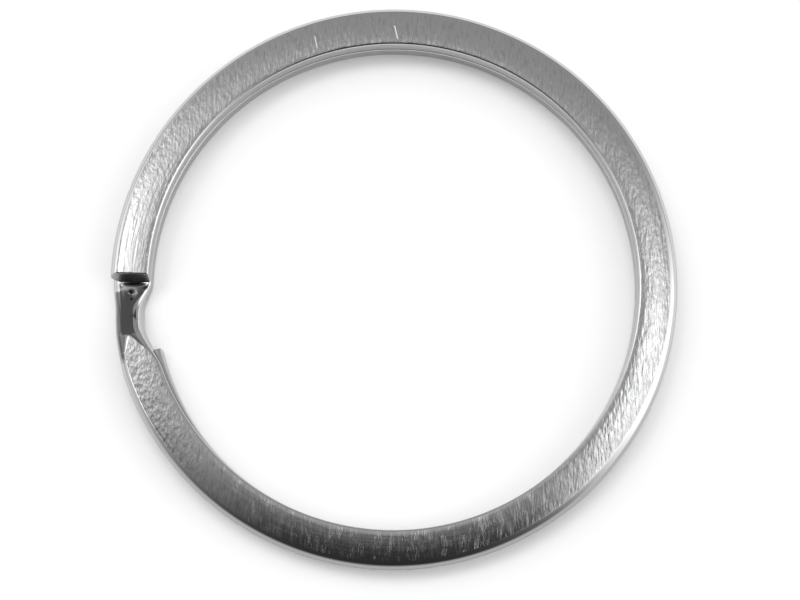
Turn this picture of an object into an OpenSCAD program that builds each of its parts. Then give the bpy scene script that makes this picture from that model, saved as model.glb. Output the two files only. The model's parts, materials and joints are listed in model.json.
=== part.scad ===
// Split key ring: one length of flat spring wire wound into two flat coils that press together.
// The wire leaves the upper coil by a jog, passes under the upper coil's cut end and runs on as
// the lower coil. The ring rests on its lower coil at Z = 0, with its centre on the Z axis.

/* [Ring] */
// Outside diameter of the ring
outer_d = 32; // [24:0.5:50]
// Direction of the upper coil's cut end, seen from above and counted from +X
seam_angle = 179.2; // [0:0.1:359]

/* [Wire] */
// Radial width of the flat wire
wire_w = 2.2; // [1.8:0.05:3.2]
// Thickness of the flat wire, which is the height of one coil
wire_t = 1.15; // [0.8:0.05:1.4]
// Radius of the wire's two edges inside the ring
edge_r = 0.09; // [0.04:0.01:0.2]
// Slope of the round outer edge where it meets the two ground faces
shoulder_angle = 14; // [0:1:30]
// Hairline between the two coils where they press together
coil_gap = 0.03; // [0.02:0.01:0.2]

/* [Jog] */
// Length along the wire over which it steps down from the upper coil to the lower
jog_run = 3.2; // [2.4:0.05:6]
// Length of the jog's foot that lies level in front of the upper coil's cut end
foot_flat = 0.4; // [0:0.05:1]
// Length of the wide bend that leads from the foot up into the slope
foot_bend = 1.7; // [0.3:0.05:2]
// Length of the tight bend at the top of the slope
top_bend = 0.35; // [0.2:0.05:1]
// Length of the foot that lies under the upper coil's cut end
foot_lap = 0.06; // [0.05:0.01:0.6]
// Length from the top of the jog to the lower coil's cut end
lower_end_lead = 1; // [0.4:0.05:6]

/* [Neck] */
// Depth by which the jog is pinched on the inside of the ring, at its upper edge
neck_in = 0.62; // [0:0.02:0.8]
// Depth of that pinch at the jog's lower edge
neck_in_low = 0.5; // [0:0.02:0.8]
// Depth by which the jog is pinched on the outside of the ring
neck_out = 0.12; // [0:0.02:0.3]
// Radius of the upper inside edge where the jog is pinched
neck_edge_r = 0.38; // [0.2:0.02:0.4]
// Length from the jog's foot over which the pinch deepens
neck_rise = 1.7; // [0.8:0.05:2.5]
// Length over which the pinch stays at its full depth
neck_hold = 0.9; // [0.2:0.05:2]
// Length over which the pinch fades into the upper coil
neck_fade = 3; // [1:0.05:4]

/* [Cut ends] */
// Lean of the upper coil's sheared end, whose lower edge stands forward
shear_angle = 15; // [0:1:30]

/* [Hidden] */

$fn = 128;
outer_r = outer_d / 2;
inner_r = outer_r - wire_w;
mid_r = outer_r - wire_w / 2;
half_t = wire_t / 2;
round_r = half_t / cos(shoulder_angle);
upper_z = wire_t + coil_gap;

// The sheared end is cut from wire that runs on this far beyond the seam.
shear_stock = 0.2;

// Angles run against the clock, and the wire descends with the clock.
foot_angle = seam_angle - swept(foot_lap);
jog_top_angle = foot_angle + swept(jog_run);
lower_end_angle = jog_top_angle + swept(lower_end_lead);
loft_run = max(jog_run, neck_rise + neck_hold + neck_fade);
loft_sweep = swept(loft_run);
lower_sweep = 360 - (lower_end_angle - foot_angle);
upper_sweep = 360 - (foot_angle + loft_sweep - seam_angle) + swept(shear_stock);

// The jog's ends are let into the coils, a hair inside their surface.
join_lap = 0.15;
join_inset = 0.003;

stations = 44;
edge_steps = 3;
neck_edge_steps = 5;
round_steps = 14;

// Angle that a length of wire takes up round the ring.
function swept(run) = run / mid_r * 180 / PI;

// Smooth step from 0 to 1 as u goes from 0 to 1.
function ease(u) = let (c = min(1, max(0, u))) c * c * (3 - 2 * c);

// Distance gained by wire that turns evenly into a slope of 1 over the length of a bend.
function gained(run, bend) =
    let (turning = min(bend, max(0, run)))
    turning * turning / (2 * bend) + max(0, run) - turning;

// Height of the wire's underside along the jog: level, a wide bend, a slope and a tight bend.
function level_at(run) =
    let (slope = upper_z / (jog_run - foot_flat - (foot_bend + top_bend) / 2))
    slope * (gained(run - foot_flat, foot_bend) - gained(run - jog_run + top_bend, top_bend));

function arc(centre, radius, from, to, steps) =
    [for (i = [0:steps]) centre + radius * [cos(from + (to - from) * i / steps),
                                            sin(from + (to - from) * i / steps)]];

// Section of the wire: ground faces, a flat inside with two small edges, and a round outside.
function wire_section(pinch_in = 0, pinch_low = 0, pinch_out = 0, top_r = edge_r, inset = 0) = concat(
    arc([inner_r + pinch_low + edge_r, edge_r], edge_r - inset, 270, 180, edge_steps),
    arc([inner_r + pinch_in + top_r, wire_t - top_r], top_r - inset, 180, 90, neck_edge_steps),
    arc([outer_r - pinch_out - round_r, half_t], round_r - inset,
        90 - shoulder_angle, shoulder_angle - 90, round_steps));

// How much of the pinch is there at a length of wire from the jog's foot.
function pinch_at(run) = ease(run / neck_rise) * (1 - ease((run - neck_rise - neck_hold) / neck_fade));

function station_section(run) = wire_section(
    neck_in * pinch_at(run),
    neck_in_low * pinch_at(run),
    neck_out * pinch_at(run),
    edge_r + (neck_edge_r - edge_r) * pinch_at(run),
    run > 0 && run < loft_run ? 0 : join_inset);

module coil(from_angle, sweep, level) {
    translate([0, 0, level])
        rotate([0, 0, from_angle])
            rotate_extrude(angle = sweep)
                polygon(wire_section());
}

module lower_coil() {
    coil(lower_end_angle - 360, lower_sweep, 0);
}

// The upper coil ends in a sheared face that leans back from its lower edge.
module upper_coil() {
    lean = wire_t * tan(shear_angle);
    difference() {
        coil(foot_angle + loft_sweep - 360, upper_sweep, upper_z);
        rotate([0, 0, seam_angle])
            translate([outer_r + wire_w, 0, upper_z])
                rotate([0, -90, 0])
                    linear_extrude(height = 3 * wire_w)
                        polygon([[-wire_t, lean], [2 * wire_t, -2 * lean],
                                 [2 * wire_t, wire_t], [-wire_t, wire_t]]);
    }
}

// The jog is a loft through sections that step down, narrow and widen again.
module jog() {
    runs = [-join_lap, each [for (s = [0:stations]) loft_run * s / stations], loft_run + join_lap];
    count = len(station_section(0));
    last = len(runs) - 1;
    points = [for (run = runs)
        let (angle = foot_angle + swept(run), level = level_at(run))
        for (p = station_section(run)) [p.x * cos(angle), p.x * sin(angle), level + p.y]];
    sides = [for (s = [0:last - 1], i = [0:count - 1])
        let (j = (i + 1) % count)
        each [[s * count + i, (s + 1) * count + i, s * count + j],
              [s * count + j, (s + 1) * count + i, (s + 1) * count + j]]];
    foot_cap = [for (i = [0:count - 1]) i];
    top_cap = [for (i = [count - 1:-1:0]) last * count + i];
    polyhedron(points, concat(sides, [foot_cap, top_cap]), convexity = 4);
}

module split_ring() {
    color([0.66, 0.67, 0.68])
        union() {
            lower_coil();
            jog();
            upper_coil();
        }
}

split_ring();
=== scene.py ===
import json
import math

import bpy
from mathutils import Matrix, Vector


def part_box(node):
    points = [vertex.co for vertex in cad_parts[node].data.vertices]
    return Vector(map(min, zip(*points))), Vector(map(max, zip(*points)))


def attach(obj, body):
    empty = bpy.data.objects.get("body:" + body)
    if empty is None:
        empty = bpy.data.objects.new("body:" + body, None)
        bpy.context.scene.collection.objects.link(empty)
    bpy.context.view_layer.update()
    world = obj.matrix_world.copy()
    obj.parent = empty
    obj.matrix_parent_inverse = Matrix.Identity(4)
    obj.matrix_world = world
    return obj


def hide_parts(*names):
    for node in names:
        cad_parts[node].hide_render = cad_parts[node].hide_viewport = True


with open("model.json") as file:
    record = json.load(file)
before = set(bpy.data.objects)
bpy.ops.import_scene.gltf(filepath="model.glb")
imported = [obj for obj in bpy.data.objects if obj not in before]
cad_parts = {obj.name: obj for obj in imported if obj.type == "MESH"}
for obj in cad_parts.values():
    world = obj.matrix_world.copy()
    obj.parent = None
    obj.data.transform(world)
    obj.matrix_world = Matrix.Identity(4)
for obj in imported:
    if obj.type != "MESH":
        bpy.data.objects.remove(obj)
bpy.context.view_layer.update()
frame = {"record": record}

MM = 0.001
NEARLY_ZERO = 0.001


# ------------------------------------------------------------------ fields
class Field:
    """A number that a node tree works out. Arithmetic on it adds Math nodes."""

    def __init__(self, tree, value):
        self.tree, self.value = tree, value

    def math(self, operation, *others, clamp=False):
        node = self.tree.nodes.new("ShaderNodeMath")
        node.operation = operation
        node.use_clamp = clamp
        for socket, value in zip(node.inputs, (self, *others)):
            plug(value, socket, self.tree)
        return Field(self.tree, node.outputs[0])

    def __add__(self, other):
        return self.math("ADD", other)

    def __sub__(self, other):
        return self.math("SUBTRACT", other)

    def __mul__(self, other):
        return self.math("MULTIPLY", other)

    def __truediv__(self, other):
        return self.math("DIVIDE", other)

    def __neg__(self):
        return self.math("MULTIPLY", -1.0)

    def __rsub__(self, other):
        return Field(self.tree, other).math("SUBTRACT", self)

    __radd__ = __add__
    __rmul__ = __mul__

    def floor(self):
        return self.math("FLOOR")

    def size(self):
        return self.math("ABSOLUTE")

    def at_least(self, other):
        return self.math("MAXIMUM", other)

    def at_most(self, other):
        return self.math("MINIMUM", other)

    def sin(self):
        return self.math("SINE")

    def cos(self):
        return self.math("COSINE")

    def part(self, start, end):
        """0 before start, 1 after end and even in between."""
        return ((self - start) / (end - start)).math("ADD", 0.0, clamp=True)

    def ease(self, start, end):
        """0 before start, 1 after end and smooth in between."""
        u = self.part(start, end)
        return u * u * (3.0 - 2.0 * u)

    def bell(self):
        """1 at 0, falling away on both sides."""
        return (self * self * -0.5).math("EXPONENT")


def plug(value, socket, tree):
    value = value.value if isinstance(value, Field) else value
    if isinstance(value, bpy.types.NodeSocket):
        tree.links.new(value, socket)
    else:
        socket.default_value = value


def vector(tree, x, y, z):
    node = tree.nodes.new("ShaderNodeCombineXYZ")
    for socket, value in zip(node.inputs, (x, y, z)):
        plug(value, socket, tree)
    return node.outputs[0]


def split_vector(tree, socket):
    node = tree.nodes.new("ShaderNodeSeparateXYZ")
    tree.links.new(socket, node.inputs[0])
    return [Field(tree, output) for output in node.outputs]


# ------------------------------------------------------------------ sizes
ring_low, ring_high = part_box("split_ring")
eye = next(m for m in frame["record"]["mounts"] if m["name"] == "eye")
inner_r = eye["dims"]["r_mm"] * MM
outer_r = (ring_high.x - ring_low.x) / 2
coil_gap = 0.03 * MM
wire_t = (ring_high.z - ring_low.z - coil_gap) / 2
SHEAR_ANGLE = math.radians(15)

WIRE_SIZES = {
    "Inner radius": inner_r,
    "Outer radius": outer_r,
    "Thickness": wire_t,
    "Coil gap": coil_gap,
    "Edge radius": 0.09 * MM,
    "Crown radius": 26 * MM,
    "Crown middle": 0.95 * MM,
    "Edge roll": 0.015 * MM,
    "Edge roll width": 0.35 * MM,
    "Shoulder slope": math.radians(14),
    "Shoulder swing": math.radians(8),
    "Shoulder side": math.radians(150),
    "Seam angle": math.radians(179.2),
    "Jog length": 3.2 * MM,
    "Foot flat": 0.4 * MM,
    "Foot bend": 1.7 * MM,
    "Top bend": 0.35 * MM,
    "Jog press": 0.03 * MM,
    "Jog press run": 0.6 * MM,
    "Tongue length": 0.9 * MM,
    "Tongue edge": 0.06 * MM,
    "Foot hollow": 0.3 * MM,
    "Hollow start": 0.4 * MM,
    "Hollow end": 1.1 * MM,
    "Shoulder groove": 0.009 * MM,
    "Groove from shoulder": 0.12 * MM,
    "Groove width": 0.07 * MM,
    "Groove side": math.radians(168),
    "Shear mark": 0.06 * MM,
    "Shear mark from foot": 0.06 * MM,
    "Shear mark width": 0.1 * MM,
    "Dent depth": 0.07 * MM,
    "Dent radius": 14.9 * MM,
    "Dent from foot": 0.8 * MM,
    "Dent size": 0.17 * MM,
    "Foot lap": 0.06 * MM,
    "Lower end lead": 1.0 * MM,
    "Neck depth": 0.62 * MM,
    "Neck depth low": 0.5 * MM,
    "Neck depth outside": 0.12 * MM,
    "Neck edge radius": 0.38 * MM,
    "Neck rise": 1.7 * MM,
    "Neck hold": 0.9 * MM,
    "Neck fade": 3.0 * MM,
    "Shear lean": wire_t * math.tan(SHEAR_ANGLE),
    "Shear lean run": 2.0 * MM,
    "Cut edge radius": 0.05 * MM,
    "Lower end tuck": 0.15 * MM,
    "Lower end tuck run": 9.0 * MM,
    "Pressed bow": 0.6 * MM,
    "Pressed lead": 0.1 * MM,
    "Pressed edge": 0.15 * MM,
    "Pressed end": 4.2 * MM,
    "Pressed fade": 0.6 * MM,
    "Pressed from depth": 0.004 * MM,
    "Pressed full depth": 0.02 * MM,
    "Lapped to depth": 0.01 * MM,
}

# Points round the section: lower inside edge, inside wall, upper inside edge,
# upper face, round outside, lower face.
SECTION_STEPS = (6, 6, 8, 28, 26, 10)
# Rows along the wire: cut end, upper coil, jog, lower coil, cut end.
ZONE_ROWS = (44, 250, 150, 250, 40)
CAP_ROWS = 7
CLOSING_ROWS = 2.0
END_ZONE = 2.5 * MM
JOG_ZONE_BEFORE = 6.4 * MM
JOG_ZONE_AFTER = 1.2 * MM
WELD_DISTANCE = 0.0002 * MM

# Where a finish sets in on the upper face and ends on the round outside, as shares of each.
PRESSED_STARTS, PRESSED_ENDS = (0.0, 0.12), (0.15, 0.35)
LAPPED_STARTS, LAPPED_ENDS = (0.02, 0.1), (0.0, 0.05)
GROOVE_STARTS, GROOVE_ENDS = (0.5, 0.9), (0.0, 0.02)
# Cosines between which the groove fades out round the ring.
GROOVE_REACH = (0.9, 0.985)
# Rows from either end of the wire over which the sheared surface gives way to the others.
CUT_ROWS = (2.0, 5.0)


def chain(counter, steps):
    """Shares of a row of pieces, each 0 before its own steps and 1 after them."""
    shares, start = [], 0
    for step in steps:
        shares.append(counter.part(float(start), float(start + step)))
        start += step
    return shares


def wire_tree():
    tree = bpy.data.node_groups.new("Split ring wire", "GeometryNodeTree")
    tree.interface.new_socket("Geometry", in_out="OUTPUT", socket_type="NodeSocketGeometry")
    for name in WIRE_SIZES:
        tree.interface.new_socket(name, in_out="INPUT", socket_type="NodeSocketFloat")
    tree.interface.new_socket("Finish", in_out="INPUT", socket_type="NodeSocketMaterial")
    source = tree.nodes.new("NodeGroupInput")
    size = {name: Field(tree, source.outputs[name]) for name in WIRE_SIZES}
    t, half_t = size["Thickness"], size["Thickness"] * 0.5
    inner, outer = size["Inner radius"], size["Outer radius"]
    mid_r = (inner + outer) * 0.5
    turn = mid_r * (2 * math.pi)

    rows = 2 * CAP_ROWS + sum(ZONE_ROWS) - 1
    columns = sum(SECTION_STEPS) + 1
    grid = tree.nodes.new("GeometryNodeMeshGrid")
    grid.inputs["Vertices X"].default_value = rows
    grid.inputs["Vertices Y"].default_value = columns
    index = Field(tree, tree.nodes.new("GeometryNodeInputIndex").outputs[0])
    row = ((index + 0.5) / float(columns)).floor()
    column = index - row * float(columns)

    # Length along the wire from the upper coil's cut end, with the clock.
    foot = turn + size["Foot lap"]
    end = foot + turn - size["Jog length"] - size["Lower end lead"]
    cut_r = size["Cut edge radius"]
    stops = [cut_r, END_ZONE + cut_r, foot - JOG_ZONE_BEFORE, foot + JOG_ZONE_AFTER]
    stops = stops + [end - END_ZONE, end - cut_r]
    shares = chain(row - float(CAP_ROWS - 1), ZONE_ROWS)
    run = cut_r
    for share, start, stop in zip(shares, stops, stops[1:]):
        run = run + share * (stop - start)
    first, last = row, float(rows - 1) - row
    turned = [c.part(CLOSING_ROWS, float(CAP_ROWS - 1)) * (math.pi / 2) for c in (first, last)]
    run = run - cut_r * turned[0].cos() + cut_r * turned[1].cos()
    nearest = first.at_most(last)
    closing = 1.0 - nearest.part(0.0, CLOSING_ROWS)
    rounding = cut_r * (2.0 - turned[0].sin() - turned[1].sin())
    inset = (rounding + (half_t - cut_r) * closing * closing * closing) / half_t

    # The jog: a level foot, a wide bend, a slope and a tight bend at its top.
    up = foot - run

    def gained(length, bend):
        turning = length.at_least(0.0).at_most(bend)
        return turning * turning / (bend * 2.0) + (length.at_least(0.0) - turning)

    foot_bend, top_bend = size["Foot bend"], size["Top bend"]
    coil_rise = t + size["Coil gap"]
    slope = coil_rise / (size["Jog length"] - size["Foot flat"] - (foot_bend + top_bend) * 0.5)

    def level_at(up):
        climbed = gained(up - size["Foot flat"], foot_bend)
        climbed = climbed - gained(up - size["Jog length"] + top_bend, top_bend)
        return (slope * climbed).at_most(coil_rise)

    level = level_at(up)

    # The neck: how much of the pinch is there.
    held = size["Neck rise"] + size["Neck hold"]
    pinch = up.ease(0.0, size["Neck rise"]) * (1.0 - up.ease(held, held + size["Neck fade"]))
    pinch_in = size["Neck depth"] * pinch
    pinch_low = size["Neck depth low"] * pinch
    pinch_out = size["Neck depth outside"] * pinch
    edge = size["Edge radius"]
    top_edge = edge + (size["Neck edge radius"] - edge) * pinch

    # The section, piece by piece round the wire.
    low_arc, wall, high_arc, face, back, floor = chain(column, SECTION_STEPS)
    low_arc, high_arc = low_arc * (math.pi / 2), high_arc * (math.pi / 2)
    side = size["Seam angle"] - run / mid_r
    swing = size["Shoulder swing"] * (side - size["Shoulder side"]).cos()
    shoulder = size["Shoulder slope"] + swing
    round_r = half_t / shoulder.cos()
    round_turn = shoulder + back * (math.pi - 2.0 * shoulder)
    face_share = face
    face = face * face * (3.0 - 2.0 * face)
    floor = floor * floor * (3.0 - 2.0 * floor)
    round_x = outer - pinch_out - round_r
    shoulder_x = round_x + round_r * shoulder.sin()
    x = inner + pinch_low + edge - edge * low_arc.sin()
    z = edge - edge * low_arc.cos()
    x = x + (pinch_in - pinch_low) * wall
    z = z + (t - top_edge - edge) * wall
    x = x + top_edge * (1.0 - high_arc.cos())
    z = z + top_edge * high_arc.sin()
    x = x + (shoulder_x - inner - pinch_in - top_edge) * face
    x = x + round_r * (round_turn.sin() - shoulder.sin())
    z = z + round_r * (round_turn.cos() - shoulder.cos())
    x = x - (shoulder_x - inner - pinch_low - edge) * floor
    from_edge = x - inner - pinch_in
    from_crown = from_edge - size["Crown middle"]
    rolled = 1.0 - from_edge.part(0.0, size["Edge roll width"])
    crown = from_crown * from_crown / (size["Crown radius"] * 2.0)
    drop = crown + size["Edge roll"] * rolled * rolled
    flat_top = t + size["Coil gap"] + t - drop
    z = half_t + (z - half_t) * (1.0 - drop / half_t)

    # The press has thinned the jog and hollowed and dented its foot. Past the jog the wire
    # reaches the grinding plane in its middle first, which leaves a tongue.
    crest = 4.0 * face * (1.0 - face)
    tongue_start = size["Jog length"] + size["Tongue length"] * (1.0 - crest)
    full = (up - tongue_start).ease(-size["Tongue edge"], size["Tongue edge"])
    thinned = up.ease(0.0, size["Jog press run"]) * (1.0 - full)
    z = z * (1.0 - size["Jog press"] / t * thinned)
    in_foot = 1.0 - up.ease(size["Hollow start"], size["Hollow end"])
    hollow = (level_at(up + size["Foot hollow"] * crest) - level) * in_foot
    from_dent = (up - size["Dent from foot"]) / size["Dent size"]
    across_dent = (x - size["Dent radius"]) / size["Dent size"]
    dent = from_dent.bell() * across_dent.bell() * crest
    from_shear = (up - size["Shear mark from foot"]) / size["Shear mark width"]
    shear_mark = from_shear.bell() * crest
    z = z + hollow - size["Dent depth"] * dent - size["Shear mark"] * shear_mark

    # The upper faces are ground down to one plane, with a fine groove beside the shoulder.
    depth = flat_top - level - z
    z = z.at_most(flat_top - level)
    to_groove = (shoulder_x - size["Groove from shoulder"] - x) / size["Groove width"]
    groove = to_groove.bell() * (side - size["Groove side"]).cos().ease(*GROOVE_REACH)
    groove = groove * face_share.ease(*GROOVE_STARTS) * (1.0 - back.ease(*GROOVE_ENDS))
    z = z - size["Shoulder groove"] * groove

    # How far the surface is pressed, lapped or sheared, for the finish. The sheared ends get painted
    # shade in their colour, and the pressed jog is darker.
    pressed_start = size["Pressed bow"] * (1.0 - crest) * (1.0 - crest) - size["Pressed lead"]
    pressed_end = size["Pressed end"] + size["Pressed fade"]
    pressed = face_share.ease(*PRESSED_STARTS) * (1.0 - back.ease(*PRESSED_ENDS))
    pressed = pressed * (up - pressed_start).ease(0.0, size["Pressed edge"])
    pressed = pressed * (1.0 - up.ease(size["Pressed end"], pressed_end))
    pressed = pressed * depth.ease(size["Pressed from depth"], size["Pressed full depth"])
    lapped = face_share.ease(*LAPPED_STARTS) * (1.0 - back.ease(*LAPPED_ENDS))
    lapped = lapped * (1.0 - depth.ease(0.0, size["Lapped to depth"]))
    cut = 1.0 - nearest.part(*CUT_ROWS)

    # The cut ends close on the section's middle line.
    middle = x.at_least(inner + half_t).at_most(outer - half_t)
    x = x + (middle - x) * inset
    z = z + (half_t - z) * inset

    # The sheared end leans back, and the lower coil's end is tucked in.
    run_at = run + size["Shear lean"] * (z / t) * (1.0 - run.ease(0.0, size["Shear lean run"]))
    x = x - size["Lower end tuck"] * run.ease(end - size["Lower end tuck run"], end)
    angle = size["Seam angle"] - run_at / mid_r

    shaped = tree.nodes.new("GeometryNodeSetPosition")
    tree.links.new(grid.outputs["Mesh"], shaped.inputs["Geometry"])
    place = vector(tree, x * angle.cos(), x * angle.sin(), level + z)
    tree.links.new(place, shaped.inputs["Position"])
    marked = shaped.outputs[0]
    for name, value in (("pressed", pressed), ("lapped", lapped), ("cut", cut)):
        store = tree.nodes.new("GeometryNodeStoreNamedAttribute")
        store.data_type, store.domain = "FLOAT", "POINT"
        store.inputs["Name"].default_value = name
        tree.links.new(marked, store.inputs["Geometry"])
        plug(value, store.inputs["Value"], tree)
        marked = store.outputs[0]
    welded = tree.nodes.new("GeometryNodeMergeByDistance")
    welded.inputs["Distance"].default_value = WELD_DISTANCE
    tree.links.new(marked, welded.inputs["Geometry"])
    smooth = tree.nodes.new("GeometryNodeSetShadeSmooth")
    tree.links.new(welded.outputs[0], smooth.inputs["Geometry"])
    realized = tree.nodes.new("GeometryNodeRealizeInstances")
    tree.links.new(smooth.outputs[0], realized.inputs[0])
    finished = tree.nodes.new("GeometryNodeSetMaterial")
    tree.links.new(realized.outputs[0], finished.inputs["Geometry"])
    tree.links.new(source.outputs["Finish"], finished.inputs["Material"])
    target = tree.nodes.new("NodeGroupOutput")
    tree.links.new(finished.outputs[0], target.inputs[0])
    return tree


def grown(name, tree, values):
    """The mesh that a node tree makes from these inputs, as a plain object."""
    carrier = bpy.data.objects.new(name + " carrier", bpy.data.meshes.new(name + " carrier"))
    bpy.context.scene.collection.objects.link(carrier)
    modifier = carrier.modifiers.new("Wire", "NODES")
    modifier.node_group = tree
    for item in tree.interface.items_tree:
        if item.item_type == "SOCKET" and item.in_out == "INPUT":
            modifier[item.identifier] = values[item.name]
    bpy.context.view_layer.update()
    evaluated = carrier.evaluated_get(bpy.context.evaluated_depsgraph_get())
    mesh = bpy.data.meshes.new_from_object(evaluated)
    carrier.modifiers.remove(modifier)
    bpy.data.objects.remove(carrier)
    mesh.name = name
    piece = bpy.data.objects.new(name, mesh)
    bpy.context.scene.collection.objects.link(piece)
    return piece


# ------------------------------------------------------------------ finishes
# Lengths in the steel's finish are in millimetres.
# Deep scratches on the upper face: start, end and width.
DEEP_SCRATCHES = (
    ((0.04, 14.90), (0.23, 14.04), 0.045),
    ((-4.53, 14.30), (-4.37, 13.50), 0.035),
)
DEEP_SCRATCH_SLOPE = 0.45
DEEP_SCRATCH_FADE = 0.1
# Fine scratches: degrees from Y, shift of the pattern and depth.
FINE_SCRATCHES = (
    (-12.0, 3.0, 0.0004),
    (4.0, 11.0, 0.0005),
    (35.0, 23.0, 0.0002),
)
# Lines a millimetre across and along them, how thin they are and where they break.
FINE_LINES = (6.0, 0.35)
FINE_THINNESS = 60.0
FINE_BREAKS = (1.7, 0.9)
FINE_BROKEN = (0.52, 0.6)

# Marks a millimetre of each texture: across it, along it and upward.
DRAWN_MARKS = (7.0, 0.45, 4.0)
DRAWN_RADIUS = 15.0
BRUSH_MARKS = (7.0, 1.2, 4.0)
MOTTLE_MARKS = (5.0, 3.0, 4.0)
GRAIN_MARKS = (16.0, 16.0, 10.0)
FLECK_MARKS = (8.0, 2.0, 4.0)
WORN_MARKS = (8.0, 1.5, 4.0)
COARSE = 0.6
# Depth of each texture, and what is added to it at the left or at the right and the back.
DRAWN_DEPTH, DRAWN_DEPTH_LEFT = 0.0015, 0.0055
BRUSH_DEPTH, BRUSH_DEPTH_RIGHT = 0.001, 0.004
MOTTLE_DEPTH, MOTTLE_DEPTH_RIGHT, MOTTLE_DEPTH_LEFT = 0.0008, 0.0035, 0.008
GRAIN_DEPTH = 0.0008
LEFT_ZONE = (-14.0, -10.0)
RIGHT_ZONE = (8.0, 13.0)
BACK_ZONE = (2.0, 9.0)
# Half of the left side's mottling fades out between these places on Y.
MOTTLE_ZONE = (-3.0, 0.0)

STEEL_TONE = 0.63
STEEL_BLUE = 1.01
STEEL_RIM_TINT = 0.7
# Tone taken off the pressed jog, painted shade on the sheared cut ends, and random flecks on the
# lapped face.
JOG_DARKENING, CUT_PAINTED_SHADE, FLECK_LOSS = 0.46, 0.3, 0.12
FLECK_RANGE, WORN_RANGE = (0.5, 0.7), (0.42, 0.72)
STEEL_ROUGHNESS, CUT_ROUGHNESS, WORN_ROUGHNESS = 0.07, 0.25, 0.07

CARD_WHITE = 0.93
CARD_GLOW = 0.04
CARD_ROUGHNESS = 0.9
# Painted shade: how much darker the card's colour shows in the steel, from the middle of the ring
# toward the front.
CARD_PAINTED_SHADE = 0.4
CARD_FRONT = -20.0 * MM


def new_material(name):
    material = bpy.data.materials.new(name)
    material.use_nodes = True
    tree = material.node_tree
    return material, tree, tree.nodes["Principled BSDF"]


def noise(tree, x, y, z, detail=1.0, roughness=0.5):
    node = tree.nodes.new("ShaderNodeTexNoise")
    node.inputs["Scale"].default_value = 1.0
    node.inputs["Detail"].default_value = detail
    node.inputs["Roughness"].default_value = roughness
    tree.links.new(vector(tree, x, y, z), node.inputs["Vector"])
    return Field(tree, node.outputs[0])


def fine_scratches(tree, x, y, slant, shift):
    """Thin broken lines that lie that many degrees from Y."""
    turn = math.radians(slant)
    across = x * math.cos(turn) - y * math.sin(turn)
    along = x * math.sin(turn) + y * math.cos(turn)
    wide, long = FINE_LINES
    wander = noise(tree, across * wide + shift, along * long, 0.0, detail=3.0, roughness=COARSE)
    line = 1.0 - ((wander - 0.5).size() * FINE_THINNESS).at_most(1.0)
    wide, long = FINE_BREAKS
    broken = noise(tree, across * wide - shift, along * long + shift, 3.0, detail=2.0)
    return line * broken.ease(*FINE_BROKEN)


def single_scratch(tree, x, y, start, end, width):
    """A groove between two points, deepest on its middle line."""
    (x0, y0), (x1, y1) = start, end
    length = math.hypot(x1 - x0, y1 - y0)
    ux, uy = (x1 - x0) / length, (y1 - y0) / length
    along = (x - x0) * ux + (y - y0) * uy
    across = ((x - x0) * uy - (y - y0) * ux).size()
    run_out = along.ease(length - DEEP_SCRATCH_FADE, length)
    return (1.0 - across / width).at_least(0.0) * along.ease(0.0, DEEP_SCRATCH_FADE) * (1.0 - run_out)


def brushed_steel():
    material, tree, shader = new_material("brushed_steel")
    place = tree.nodes.new("ShaderNodeTexCoord")
    x, y, z = [axis * (1.0 / MM) for axis in split_vector(tree, place.outputs["Object"])]

    def mark(name):
        node = tree.nodes.new("ShaderNodeAttribute")
        node.attribute_name = name
        return Field(tree, node.outputs["Fac"])

    def texture(across, along, marks, shift=0.0, lift=0.0, roughness=0.5):
        wide, long, tall = marks
        return noise(tree, across * wide + shift, along * long, z * tall + lift, roughness=roughness)

    pressed, lapped, cut = mark("pressed"), mark("lapped"), mark("cut")

    # Drawn lines run round the ring and brushed ones along Y. Both are cut by scratches.
    from_axis = (x * x + y * y).math("SQRT")
    round_ring = y.math("ARCTAN2", x) * DRAWN_RADIUS
    left = 1.0 - x.ease(*LEFT_ZONE)
    right = x.ease(*RIGHT_ZONE).at_least(y.ease(*BACK_ZONE))
    drawn = texture(from_axis, round_ring, DRAWN_MARKS, roughness=COARSE) - 0.5
    brush = texture(x, y, BRUSH_MARKS, lift=3.0, roughness=COARSE) - 0.5
    mottle = texture(x, y, MOTTLE_MARKS, lift=7.0) - 0.5
    mottle_left = MOTTLE_DEPTH_LEFT * left * (1.0 - 0.5 * y.ease(*MOTTLE_ZONE))
    height = drawn * (DRAWN_DEPTH + DRAWN_DEPTH_LEFT * left)
    height = height + brush * (BRUSH_DEPTH + BRUSH_DEPTH_RIGHT * right)
    height = height + mottle * (MOTTLE_DEPTH + MOTTLE_DEPTH_RIGHT * right + mottle_left)
    for slant, shift, depth in FINE_SCRATCHES:
        height = height - fine_scratches(tree, x, y, slant, shift) * depth
    for start, end, width in DEEP_SCRATCHES:
        depth = DEEP_SCRATCH_SLOPE * width
        height = height - single_scratch(tree, x, y, start, end, width) * depth
    height = height * lapped + texture(x, y, GRAIN_MARKS) * GRAIN_DEPTH

    bump = tree.nodes.new("ShaderNodeBump")
    bump.inputs["Distance"].default_value = MM
    tree.links.new(height.value, bump.inputs["Height"])
    tree.links.new(bump.outputs[0], shader.inputs["Normal"])

    fleck = texture(x, y, FLECK_MARKS, shift=-9.0).ease(*FLECK_RANGE)
    # The pressed jog is darker in colour; the cut ends' darker tone is painted shade.
    tone = (STEEL_TONE - JOG_DARKENING * pressed) * (1.0 - CUT_PAINTED_SHADE * cut)
    tone = tone * (1.0 - FLECK_LOSS * fleck * lapped)
    plug(vector(tree, tone, tone, tone * STEEL_BLUE), shader.inputs["Base Color"], tree)
    shader.inputs["Metallic"].default_value = 1.0
    shader.inputs["Specular Tint"].default_value = (STEEL_RIM_TINT,) * 3 + (1,)
    worn = texture(x, y, WORN_MARKS, shift=5.0).ease(*WORN_RANGE)
    roughness = STEEL_ROUGHNESS + CUT_ROUGHNESS * cut + WORN_ROUGHNESS * worn * lapped
    plug(roughness, shader.inputs["Roughness"], tree)
    return material


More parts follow.
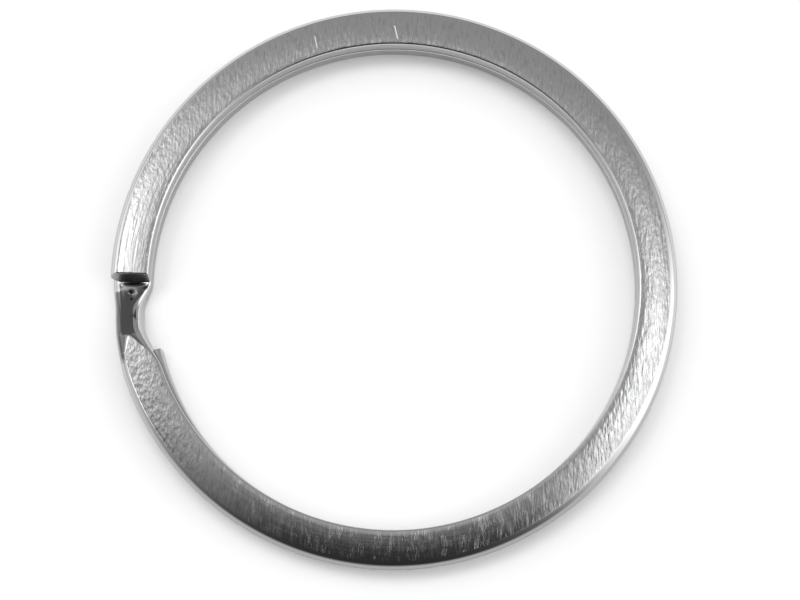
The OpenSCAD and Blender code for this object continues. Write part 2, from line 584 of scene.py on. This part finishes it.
def table_top():
    """Pale matt card, whose plain white shows to the camera and, darkened toward -Y by painted shade,
    in the steel.
    """
    material, tree, shader = new_material("table_top")
    place = tree.nodes.new("ShaderNodeTexCoord")
    _, y, _ = split_vector(tree, place.outputs["Object"])
    rays = tree.nodes.new("ShaderNodeLightPath")
    to_camera = Field(tree, rays.outputs["Is Camera Ray"])
    in_metal = Field(tree, rays.outputs["Is Glossy Ray"])
    through_glass = Field(tree, rays.outputs["Is Transmission Ray"])
    seen = (to_camera + in_metal + through_glass).at_most(1.0)
    # Painted shade on the card toward -Y, in its colour for glossy rays only.
    tone = CARD_WHITE - CARD_PAINTED_SHADE * in_metal * (1.0 - y.ease(CARD_FRONT, 0.0))
    plug(vector(tree, tone, tone, tone), shader.inputs["Base Color"], tree)
    shader.inputs["Roughness"].default_value = CARD_ROUGHNESS
    shader.inputs["Emission Color"].default_value = (1, 1, 1, 1)
    plug(seen * CARD_GLOW, shader.inputs["Emission Strength"], tree)
    return material


# ------------------------------------------------------------------ pieces
steel = brushed_steel()
ring = grown("split_ring_wire", wire_tree(), {**WIRE_SIZES, "Finish": steel})
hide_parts("split_ring")
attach(ring, "root")

TABLE_SIZE = 2.0
TABLE_DROP = 0.002 * MM
bpy.ops.mesh.primitive_plane_add(size=TABLE_SIZE, location=(0, 0, ring_low.z - TABLE_DROP))
table = bpy.context.active_object
table.name = "table"
table.data.materials.append(table_top())


# ------------------------------------------------------------------ camera
IMAGE_WIDTH_PX = 800
FOCAL_PX = 1832.5
SENSOR_MM = 36.0
CAMERA_DISTANCE = 105.0736 * MM
CAMERA_PITCH = math.radians(8.2869)
CAMERA_YAW = math.radians(0.4739)
AIM = Vector((0.3506, -0.6702, 0.0)) * MM

back_axis = Vector((
    math.sin(CAMERA_YAW) * math.cos(CAMERA_PITCH),
    -math.sin(CAMERA_PITCH),
    math.cos(CAMERA_YAW) * math.cos(CAMERA_PITCH),
))
right_axis = Vector((0, 1, 0)).cross(back_axis).normalized()
up_axis = back_axis.cross(right_axis)
lens = bpy.data.cameras.new("camera")
lens.sensor_width = SENSOR_MM
lens.lens = SENSOR_MM * FOCAL_PX / IMAGE_WIDTH_PX
lens.clip_start = MM
lens.clip_end = 10.0
camera = bpy.data.objects.new("camera", lens)
turned = Matrix((right_axis, up_axis, back_axis)).transposed()
camera.matrix_world = Matrix.Translation(AIM + CAMERA_DISTANCE * back_axis) @ turned.to_4x4()
bpy.context.scene.collection.objects.link(camera)
bpy.context.scene.camera = camera


# ------------------------------------------------------------------ light
# Places in the tent are given as u and v, which are 0 straight up and reach 1 at the horizon.
# Lamps: strength, place and size.
TENT_LAMPS = (
    (1.8, (0.067, 0.053), (0.019, 0.026)),
    (1.9, (-0.15, 0.088), (0.06, 0.028)),
    (1.8, (-0.37, -0.065), (0.04, 0.045)),
)
# Walls: the side in degrees from +X, the spread round it, and bands of light, each with its
# strength and the distances from straight up at which it starts and is full.
RIGHT_WALL = (-9.0, 19.0, ((1.75, 0.045, 0.095), (0.25, 0.2, 0.45)))
LEFT_WALL = (169.0, 23.0, ((0.15, 0.04, 0.08), (0.97, 0.1, 0.3)))
WALL_FOOT = (0.74, 0.84)
WALL_FOOT_LOSS = 0.5
# The roof is dark in front of this edge and light behind it.
ROOF_EDGE = (-0.02, 0.09)
ROOF_DARK, ROOF_GAIN = 0.035, 0.335
# The apron is the pale ground in front.
APRON = 0.5
APRON_RISE = (0.6, 0.95)
APRON_SIDE = (-0.3, 0.0)

# Lamps over the table: name, place and size in metres, and watts.
TABLE_LAMPS = (
    ("table_sky", (-0.1, 0.35, 1.2), 3.2, 9.6),
    ("table_key", (-0.47, 0.39, 1.37), 0.4, 2.4),
    ("table_back", (0.05, 0.44, 1.43), 0.5, 3.8),
)


def wall_glow(u, v, out, wall):
    """A light wall on one side of the tent, falling away round it."""
    degrees, spread, bands = wall
    side = math.radians(degrees)
    turned = (u * math.cos(side) + v * math.sin(side)) / out
    toward = ((turned - 1.0) / math.radians(spread) ** 2).math("EXPONENT")
    light = 0.0
    for strength, start, full in bands:
        light = light + strength * out.ease(start, full)
    return toward * light


def light_tent():
    """A pale tent with three lamps, light walls at the sides and a dark front."""
    world = bpy.data.worlds.new("light_tent")
    world.use_nodes = True
    tree = world.node_tree
    background = tree.nodes["Background"]
    place = tree.nodes.new("ShaderNodeTexCoord")
    x, y, z = split_vector(tree, place.outputs["Generated"])
    u, v = x / (z + 1.0 + NEARLY_ZERO), y / (z + 1.0 + NEARLY_ZERO)
    out = (u * u + v * v).math("SQRT").at_least(NEARLY_ZERO)

    walls = wall_glow(u, v, out, RIGHT_WALL) + wall_glow(u, v, out, LEFT_WALL)
    glow = walls * (1.0 - WALL_FOOT_LOSS * out.ease(*WALL_FOOT))
    glow = glow + ROOF_DARK + ROOF_GAIN * v.ease(*ROOF_EDGE)
    for strength, (lamp_u, lamp_v), (wide, deep) in TENT_LAMPS:
        glow = glow + strength * ((u - lamp_u) / wide).bell() * ((v - lamp_v) / deep).bell()
    glow = glow + APRON * out.ease(*APRON_RISE) * (1.0 - v.ease(*APRON_SIDE))
    plug(vector(tree, glow, glow, glow), background.inputs["Color"], tree)
    return world


def table_lamp(name, place, size, watts):
    """A soft round lamp that gives the ring its shadow and doesn't show in the steel."""
    light = bpy.data.lights.new(name, "AREA")
    light.shape = "DISK"
    light.size = size
    light.energy = watts
    lamp = bpy.data.objects.new(name, light)
    lamp.location = place
    lamp.rotation_euler = lamp.location.to_track_quat("Z", "Y").to_euler()
    lamp.visible_glossy = False
    lamp.visible_camera = False
    bpy.context.scene.collection.objects.link(lamp)


for settings in TABLE_LAMPS:
    table_lamp(*settings)
bpy.context.scene.world = light_tent()
bpy.context.scene.view_settings.view_transform = "Standard"
